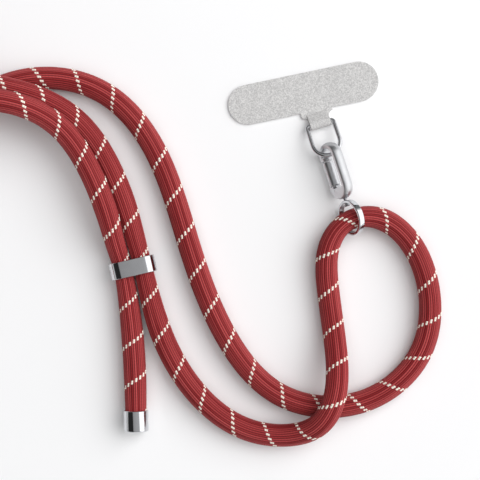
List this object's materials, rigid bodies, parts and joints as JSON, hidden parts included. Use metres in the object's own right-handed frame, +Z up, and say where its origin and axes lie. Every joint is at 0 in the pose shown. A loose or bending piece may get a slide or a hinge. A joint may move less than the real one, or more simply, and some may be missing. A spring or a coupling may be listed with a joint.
{
  "type": "phone crossbody strap",
  "caption": "Knitted rope strap for carrying a phone, with sliders, a swivelling spring-gate clip, a wire loop and a card that stays inside the phone's case.",
  "frame": {"origin": "middle of the card's underside, on the surface that the strap lies on", "axes": "+Z up from that surface, +Y away from the loops of rope and past the card, +X to the right with the card nearly along it"},
  "size_m": [0.3501, 0.1543, 0.0262],
  "materials": {
    "knitted_rope": "knitted polyester sheath",
    "polished_metal": "polished plated zinc alloy",
    "card_fabric": "heathered woven fabric, pressed flat"
  },
  "bodies": {
    "strap": {"rope": "knitted_rope", "slider": "polished_metal", "far_slider": "polished_metal", "end_cap": "polished_metal", "far_end_cap": "polished_metal", "rope_ring": "polished_metal"},
    "clip": {"clip_frame": "polished_metal", "wire_loop": "polished_metal", "tether_card": "card_fabric"},
    "gate": {"clip_gate": "polished_metal"}
  },
  "joints": [
    {"name": "swivel", "type": "hinge", "parent": "strap", "child": "clip", "pos_m": [0.0187, -0.0502, 0.00685], "axis": [-0.3088, 0.9505, -0.0349], "continuous": true},
    {"name": "gate", "type": "hinge", "parent": "clip", "child": "gate", "pos_m": [0.01363, -0.03911, 0.00423], "axis": [0.8079, 0.2428, -0.537], "range_deg": [0, 20], "stiffness_Nm_per_rad": 0.02}
  ]
}
